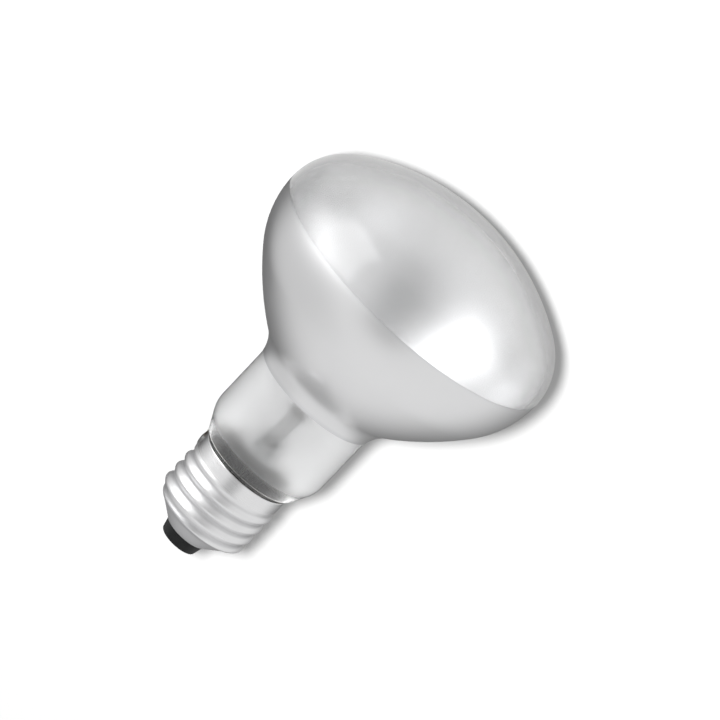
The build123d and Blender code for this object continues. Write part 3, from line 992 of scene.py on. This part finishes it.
@dataclass
class Envelope:
    """The blown glass and the mirror film inside it, in millimetres and degrees."""

    wall: float = 0.8
    skirt_radius: float = 11.3
    skirt_foot: float = 19.0
    waist_height: float = 26.15
    waist_radius: float = 0.8
    ledge_angle: float = 65.0
    heel_radius: float = 2.0
    heel_corner: Point = (13.3, 27.592)
    cone_angle: float = 25.7
    shoulder_radius: float = 8.0
    neck_radius: float = 16.6
    neck_length: float = 13.6
    throat_radius: float = 11.0
    bowl_lower_radius: float = 78.5
    bowl_upper_radius: float = 24.85
    bowl_upper_sweep: float = 36.0
    head_radius: float = 40.0
    corner_radius: float = 14.8
    crown_height: float = 22.75
    film: float = 0.08
    film_gap: float = 0.03
    film_foot_rise: float = 2.5
    film_lip_rise: float = 0.5
    shoulder_step: float = 0.35
    heel_step: float = 0.12
    skirt_step: float = 1.2

    def __post_init__(self) -> None:
        """Works out the centres of the arcs."""
        ledge, cone = math.radians(self.ledge_angle), math.radians(self.cone_angle)
        ledge_normal = Vector((math.cos(ledge), -math.sin(ledge)))
        cone_normal = Vector((math.cos(cone), -math.sin(cone)))
        reach = self.heel_radius / (1 + ledge_normal.dot(cone_normal))
        self.heel_center = Vector(self.heel_corner) - (ledge_normal + cone_normal) * reach
        self.waist_center = (self.skirt_radius + self.waist_radius, self.waist_height)
        shoulder_x = self.neck_radius - self.shoulder_radius
        rise = (self.shoulder_radius + (shoulder_x - self.heel_corner[0]) * cone_normal.x) / math.sin(cone)
        self.shoulder_center = (shoulder_x, self.heel_corner[1] + rise)
        throat_z = self.shoulder_center[1] + self.neck_length
        self.throat_center = (self.neck_radius + self.throat_radius, throat_z)
        turn = math.radians(self.bowl_upper_sweep)
        difference = self.bowl_lower_radius - self.bowl_upper_radius
        upper_x = self.head_radius - self.bowl_upper_radius
        lower_x = upper_x - difference * math.cos(turn)
        apart = self.bowl_lower_radius + self.throat_radius
        lower_z = throat_z + math.sqrt(apart**2 - (self.throat_center[0] - lower_x) ** 2)
        self.lower_center = (lower_x, lower_z)
        self.throat_turn = math.degrees(math.asin((lower_z - throat_z) / apart))
        self.equator = lower_z - difference * math.sin(turn)
        self.upper_center = (upper_x, self.equator)
        corner_x = self.head_radius - self.corner_radius
        self.corner_center = (corner_x, self.equator)
        self.crown_radius = (self.crown_height**2 + corner_x**2 - self.corner_radius**2) / (
            2 * (self.crown_height - self.corner_radius)
        )
        self.crown_center = (0.0, self.equator + self.crown_height - self.crown_radius)
        self.corner_turn = math.degrees(math.atan2(self.equator - self.crown_center[1], corner_x))
        self.film_foot = throat_z + self.film_foot_rise
        self.film_lip = self.equator + self.film_lip_rise

    def head(self, inset: float) -> Outline:
        """Outline from the crown to the neck's lower end.

        Args:
            inset: How far inside the outer face.

        Returns:
            The outline, going down.
        """
        sweep = self.bowl_upper_sweep
        path = Outline()
        path.arc(self.crown_center, self.crown_radius - inset, 90, self.corner_turn - 90)
        path.points[0] = (0.0, path.points[0][1])
        path.arc(self.corner_center, self.corner_radius - inset, self.corner_turn, -self.corner_turn)
        path.arc(self.upper_center, self.bowl_upper_radius - inset, 0, -sweep)
        path.arc(self.lower_center, self.bowl_lower_radius - inset, -sweep, sweep - self.throat_turn)
        path.arc(self.throat_center, self.throat_radius + inset, 180 - self.throat_turn, self.throat_turn)
        path.line(self.neck_radius - inset, self.shoulder_center[1])
        return path

    def contour(self, inset: float) -> Outline:
        """Outline from the crown to the foot of the skirt.

        Args:
            inset: How far inside the outer face.

        Returns:
            The outline, going down.
        """
        path = self.head(inset)
        path.step = self.shoulder_step
        path.arc(self.shoulder_center, self.shoulder_radius - inset, 0, -self.cone_angle)
        turn = math.radians(self.cone_angle)
        reach = self.heel_radius - inset
        path.line(self.heel_center.x + reach * math.cos(turn), self.heel_center.y - reach * math.sin(turn))
        path.step = self.heel_step
        path.arc(self.heel_center[:], reach, -self.cone_angle, self.cone_angle - self.ledge_angle)
        path.arc(self.waist_center, self.waist_radius + inset, 180 - self.ledge_angle, self.ledge_angle)
        path.step = self.skirt_step
        path.line(self.skirt_radius - inset, self.skirt_foot)
        return path

    def build(self, turned: Turned) -> None:
        """Makes the glass and the film.

        Args:
            turned: The tree that turns outlines.
        """
        shell = Outline()
        shell.follow(self.contour(0), {self.film_lip: Wall.SECOND, self.film_foot: Wall.FIRST})
        shell.enter(Wall.THIRD)
        shell.back(self.contour(self.wall))
        frosted = FrostedGlass().material()
        inside = FrostedGlass("frosted_glass_inside", coat=0.0).material()
        glass = turned.make("glass_envelope_blown", shell, [frosted, SilveredGlass().material(), inside])
        seat(glass, "frosted_glass", "glass_envelope")

        back = self.head(self.wall + self.film_gap)
        front = self.head(self.wall + self.film_gap + self.film)
        ring = Outline()
        for radius, height in (*back.points, *reversed(front.points)):
            if self.film_foot < height < self.film_lip:
                ring.put(radius, height)
        ring.put(*ring.points[0])
        coating = turned.make("mirror_coating_film", ring, [MIRROR_FILM.material()])
        seat(coating, "mirror_film", "mirror_coating")


@dataclass
class ScrewCap:
    """The rolled screw shell of the cap, in millimetres, degrees for the cone and radians for the notch."""

    rim: float = 27.0
    collar_radius: float = 12.65
    sheet: float = 0.3
    rim_round: float = 0.05
    rim_curl: float = 0.25
    rim_in: float = 0.08
    pitch: float = 3.629
    swing: float = 0.45
    crest: float = 17.0
    bottom: float = 7.6
    top: float = 23.5
    run_in: float = 2.2
    run_out: float = 3.0
    foot: Point = (6.05, 4.1)
    cone_angle: float = 49.5
    bend_radius: float = 2.5
    notch_half: float = 0.034
    notch_depth: float = 0.7
    outer_step: float = 0.14
    inner_step: float = 0.2
    around: int = 288

    def sheet_outline(self) -> Outline:
        """Half section of the sheet, outside and inside, without the thread.

        Returns:
            The outline, closed.
        """
        slope = math.radians(self.cone_angle)
        foot_x, foot_z = self.foot
        bend_x = self.collar_radius - self.bend_radius
        end_x = bend_x + self.bend_radius * math.cos(slope)
        bend_z = foot_z + (end_x - foot_x) / math.tan(slope) + self.bend_radius * math.sin(slope)
        bend = (bend_x, bend_z)
        inner_foot = (foot_x - self.sheet * math.cos(slope), foot_z + self.sheet * math.sin(slope))
        curl = math.acos(1 - self.rim_in / self.rim_curl)
        curl_center = (
            self.collar_radius - self.rim_curl,
            self.rim - self.rim_round - self.rim_curl * math.sin(curl),
        )
        path = Outline(self.outer_step)
        path.arc(curl_center, self.rim_curl, math.degrees(curl), -math.degrees(curl))
        path.line(self.collar_radius, bend_z)
        path.arc(bend, self.bend_radius, 0, -self.cone_angle)
        path.line(foot_x, foot_z)
        path.line(*inner_foot)
        back = Outline(self.inner_step)
        back.put(self.collar_radius - self.sheet, self.rim - self.rim_round)
        back.line(self.collar_radius - self.sheet, bend_z)
        back.arc(bend, self.bend_radius - self.sheet, 0, -self.cone_angle)
        back.line(*inner_foot)
        path.back(back)
        path.put(self.collar_radius - self.sheet + self.rim_round, self.rim)
        path.put(self.collar_radius - self.rim_in - self.rim_round / 2, self.rim)
        path.put(*path.points[0])
        return path

    def build(self, rolled: Rolled) -> None:
        """Makes the shell.

        Args:
            rolled: The tree that turns an outline and rolls the thread.
        """
        labels = [label.replace(" ", "_") for label in rolled.LENGTHS]
        lengths = {label: getattr(self, label.lower()) * MM for label in labels}
        shell = rolled.make(
            "cap_shell_rolled",
            self.sheet_outline(),
            [RolledAluminium().material()],
            around=self.around,
            Notch_Half=self.notch_half,
            **lengths,
        )
        seat(shell, "cap_aluminium", "cap_shell")


@dataclass
class Mount:
    """The glass stem with its wires, and the filament on its supports, in millimetres and degrees."""

    ring_radius: float = 8.0
    filament_height: float = 68.1
    gap: float = 80.0
    coil_radius: float = 0.47
    wire_radius: float = 0.07
    turns: int = 130
    steps: int = 10

    def build(self, coil: CoiledRing) -> None:
        """Winds the filament and dresses the rest.

        Args:
            coil: The tree that winds a wire round a ring.
        """
        sizes = {
            "Ring Radius": self.ring_radius * MM,
            "Height": self.filament_height * MM,
            "Start": math.radians(self.gap / 2),
            "Sweep": math.radians(360 - self.gap),
            "Coil Radius": self.coil_radius * MM,
            "Wire Radius": self.wire_radius * MM,
            "Turns": float(self.turns),
            "Points": self.turns * self.steps + 1,
            "Finish": TUNGSTEN.material(),
        }
        wound = coil.run("filament_coil", bpy.data.meshes.new("filament_path"), sizes)
        seat(wound, "filament_metal", "filament")
        dress(ClearGlass().material(), "stem_flare", "exhaust_tube", "support_rod")
        dress(NICKEL.material(), "inner_lead_side", "inner_lead_centre")
        dress(MOLYBDENUM.material(), "support_wire_1", "support_wire_2", "support_wire_3")
        dress(SEALED_COPPER.material(), "seal_wire_side", "seal_wire_centre")
        dress(TINNED_COPPER.material(), "outer_lead_side", "outer_lead_centre")
        dress(Cement().material(), "basing_cement")


@dataclass
class CapEnd:
    """The drop of solder at the cap's rim, in millimetres, and the finishes of the cap's end."""

    drop_centre: Place = (-12.6, 0.0, 24.6)
    drop_size: Place = (0.72, 1.7, 2.45)
    lumps: float = 1.3
    unevenness: float = 0.28
    pit: Place = (-12.9, -0.9, 26.55)
    pit_size: float = 0.55
    pit_depth: float = 0.3
    # How far round the pit the solder turns dark.
    pit_dark_reach: float = 1.8

    def build(self, drop: Drop) -> None:
        """Makes the drop at the rim and dresses the nodes.

        Args:
            drop: The tree that shapes a drop.
        """
        aim = [(p - c) / s for p, c, s in zip(self.pit, self.drop_centre, self.drop_size)]
        values = {
            "Centre": [v * MM for v in self.drop_centre],
            "Size": [v * MM for v in self.drop_size],
            "Pit": aim,
            "Lumps": self.lumps,
            "Unevenness": self.unevenness,
            "Pit Size": self.pit_size,
            "Pit Depth": self.pit_depth,
            "Finish": PittedSolder(self.pit, self.pit_dark_reach).material(),
        }
        shaped = drop.run("side_solder_drop", bpy.data.meshes.new("drop_start"), values)
        seat(shaped, "solder", "side_solder")
        dress(BlackGlass().material(), "insulator")
        dress(BRASS.material(), "centre_contact")
        dress(SOLDER.material(), "centre_solder")


@dataclass(frozen=True)
class Panel:
    """A soft-edged patch of light in the room, placed in degrees from the line to the camera."""

    right: float
    up: float
    wide: float
    high: float
    soft: float
    level: float
    lean: float = 0.0


@dataclass
class Studio:
    """The table behind the bulb, the light and the camera of the photograph, in metres and degrees."""

    elevation: float = 17.2
    distance: float = 1.2
    roll: float = 43.5
    aim_height: float = 0.0602
    aim_pixel: Point = (337.8, 371.5)
    pixels_per_metre: float = 4154.0
    table_side: float = 1.2
    table_gap: float = 0.0001
    table_glow: float = 0.24
    # Glow for rays through the glass, rising towards +x over table_change: painted light.
    table_through: Point = (0.60, 0.84)
    table_change: Point = (-0.025, 0.02)
    table_albedo: float = 0.1
    lamp_power: float = 462.0
    lamp_radius: float = 0.052
    lamp_off: Point = (-4.2, 0.25)
    behind: float = 0.19
    behind_slant: float = 0.15
    behind_lift: float = 0.11
    front: float = 0.87
    front_slant: float = 0.07
    front_lift: float = 0.04
    front_arch: float = 0.46
    front_range: Point = (-0.95, -0.1)
    panels: tuple[Panel, ...] = (
        Panel(-95.0, -42.0, 44.0, 30.0, 18.0, 0.68),
        Panel(4.0, 4.0, 18.0, 52.0, 12.0, 0.47),
        Panel(-72.0, 18.0, 20.0, 36.0, 14.0, 1.8, -0.15),
        Panel(-57.0, 17.5, 20.0, 36.0, 6.0, 3.0, -0.15),
    )

    def __post_init__(self) -> None:
        """Works out the directions of the upright view and of the picture, and the camera's place."""
        angle = math.radians(self.elevation)
        self.right = Vector((1, 0, 0))
        self.up = Vector((0, math.sin(angle), math.cos(angle)))
        self.toward = Vector((0, -math.cos(angle), math.sin(angle)))
        turn = math.radians(self.roll)
        self.image_right = self.right * math.cos(turn) + self.up * math.sin(turn)
        self.image_up = self.up * math.cos(turn) - self.right * math.sin(turn)
        across, down = ((IMAGE_SIDE / 2 - pixel) / self.pixels_per_metre for pixel in self.aim_pixel)
        facing = Vector((0, 0, self.aim_height)) + self.toward * self.distance
        self.place = facing + self.image_right * across - self.image_up * down

    def camera(self) -> None:
        """Sets the camera where the photograph was taken."""
        data = bpy.data.cameras.new("photo_camera")
        data.lens = data.sensor_width * self.distance * self.pixels_per_metre / IMAGE_SIDE
        camera = bpy.data.objects.new("photo_camera", data)
        bpy.context.scene.collection.objects.link(camera)
        turned = Matrix((self.image_right, self.image_up, self.toward)).transposed()
        camera.matrix_world = Matrix.Translation(self.place) @ turned.to_4x4()
        bpy.context.scene.camera = camera

    def room(self, g: Graph, mirrored: Field) -> Field:
        """Brightness of the room in each direction.

        Args:
            g: The world's node tree.
            mirrored: 0 for what is seen straight through glass, which misses the panels, and 1 elsewhere.

        Returns:
            The brightness.
        """
        way = g.get("ShaderNodeTexCoord", key="Generated")
        axes = (self.right, self.up, self.toward)
        sideways, above, toward = (g.blend("DOT_PRODUCT", way, axis[:], "Value") for axis in axes)
        bearing = g.math("ARCTAN2", sideways, toward) * math.degrees(1)
        rise = g.math("ARCSINE", above) * math.degrees(1)
        behind = self.behind + sideways * self.behind_slant + above * self.behind_lift
        lean = toward + sideways * self.front_slant + above * (self.front_lift + above * self.front_arch)
        level = behind + g.rise(lean, *self.front_range) * (self.front - behind)
        for panel in self.panels:
            across = bearing - panel.right
            aside = g.math("ABSOLUTE", across)
            away = g.math("ABSOLUTE", rise - panel.up - across * panel.lean)
            share = 1 - g.rise(aside, panel.wide - panel.soft, panel.wide + panel.soft)
            share = share * (1 - g.rise(away, panel.high - panel.soft, panel.high + panel.soft))
            level = level + share * mirrored * (panel.level - level)
        return level

    def world(self) -> None:
        """Lights the room, with plain white for what the camera sees behind."""
        world = bpy.data.worlds.new("studio")
        bpy.context.scene.world = world
        world.use_nodes = True
        g = Graph(world.node_tree)
        path = g.add("ShaderNodeLightPath")
        camera = g.out(path, "Is Camera Ray")
        turned_back = g.math("MINIMUM", g.out(path, "Glossy Depth"), 1.0)
        mirrored = 1 - g.out(path, "Is Transmission Ray") * (1 - turned_back)
        strength = camera + (1 - camera) * self.room(g, mirrored)
        shown = g.get("ShaderNodeBackground", {"Color": (1, 1, 1, 1), "Strength": strength})
        g.add("ShaderNodeOutputWorld", {"Surface": shown})

    def table(self) -> bpy.types.Object:
        """Lays the white table against the back of the head, along the bulb's axis, open from behind.

        Returns:
            The table.
        """
        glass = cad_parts["glass_envelope"].data
        back = max(v.co.y for v in glass.vertices) + self.table_gap
        half = self.table_side / 2
        sides = ((-1, -1), (1, -1), (1, 1), (-1, 1))
        mesh = bpy.data.meshes.new("table")
        mesh.from_pydata([(a * half, back, self.aim_height + b * half) for a, b in sides], [], [(0, 1, 2, 3)])
        table = bpy.data.objects.new("table", mesh)
        bpy.context.scene.collection.objects.link(table)
        mesh.materials.append(self.table_white())
        table.visible_glossy = False
        table.visible_diffuse = False
        table.visible_shadow = False
        return table

    def table_white(self) -> bpy.types.Material:
        """White matt surface that is see-through from behind; it glows evenly for the camera, and behind the
        glass brighter towards +x as painted light.

        Returns:
            The material.
        """
        s = Surface("table_white")
        camera = s.get("ShaderNodeLightPath", key="Is Camera Ray")
        x, _, _ = s.split(s.point)
        # Painted light: behind the glass the table glows brighter towards +x.
        dim, bright = self.table_through
        through = dim + s.rise(x, *self.table_change) * (bright - dim)
        white = s.get("ShaderNodeEmission", {"Strength": through + camera * (self.table_glow - through)})
        matt = s.get("ShaderNodeBsdfDiffuse", {"Color": (*[self.table_albedo] * 3, 1)})
        both = s.get("ShaderNodeAddShader", {0: white, 1: matt})
        behind = s.get("ShaderNodeNewGeometry", key="Backfacing")
        clear = s.get("ShaderNodeBsdfTransparent")
        s.show(s.get("ShaderNodeMixShader", {0: behind, 1: both, 2: clear}))
        return s.material

    def shadow_light(self, table: bpy.types.Object) -> None:
        """Adds the lamp beside the camera that draws the bulb's narrow shadow on the table.

        Args:
            table: The only thing that it lights.
        """
        data = bpy.data.lights.new("shadow_light", "POINT")
        data.energy = self.lamp_power
        data.shadow_soft_size = self.lamp_radius
        lamp = bpy.data.objects.new("shadow_light", data)
        bpy.context.scene.collection.objects.link(lamp)
        across, above = (math.tan(math.radians(v)) * self.distance for v in self.lamp_off)
        lamp.location = self.place + self.image_right * across + self.image_up * above
        lit = bpy.data.collections.new("lit_by_shadow_light")
        lit.objects.link(table)
        lamp.light_linking.receiver_collection = lit

    def build(self) -> None:
        """Sets up the stage."""
        bpy.context.scene.view_settings.view_transform = "Standard"
        self.camera()
        self.world()
        self.shadow_light(self.table())


def main() -> None:
    """Builds the sub-assemblies in order."""
    logging.basicConfig(level=logging.INFO, format="%(name)s %(message)s")
    Envelope().build(Turned())
    ScrewCap().build(Rolled())
    Mount().build(CoiledRing())
    CapEnd().build(Drop())
    Studio().build()


if __name__ == "__main__":
    main()
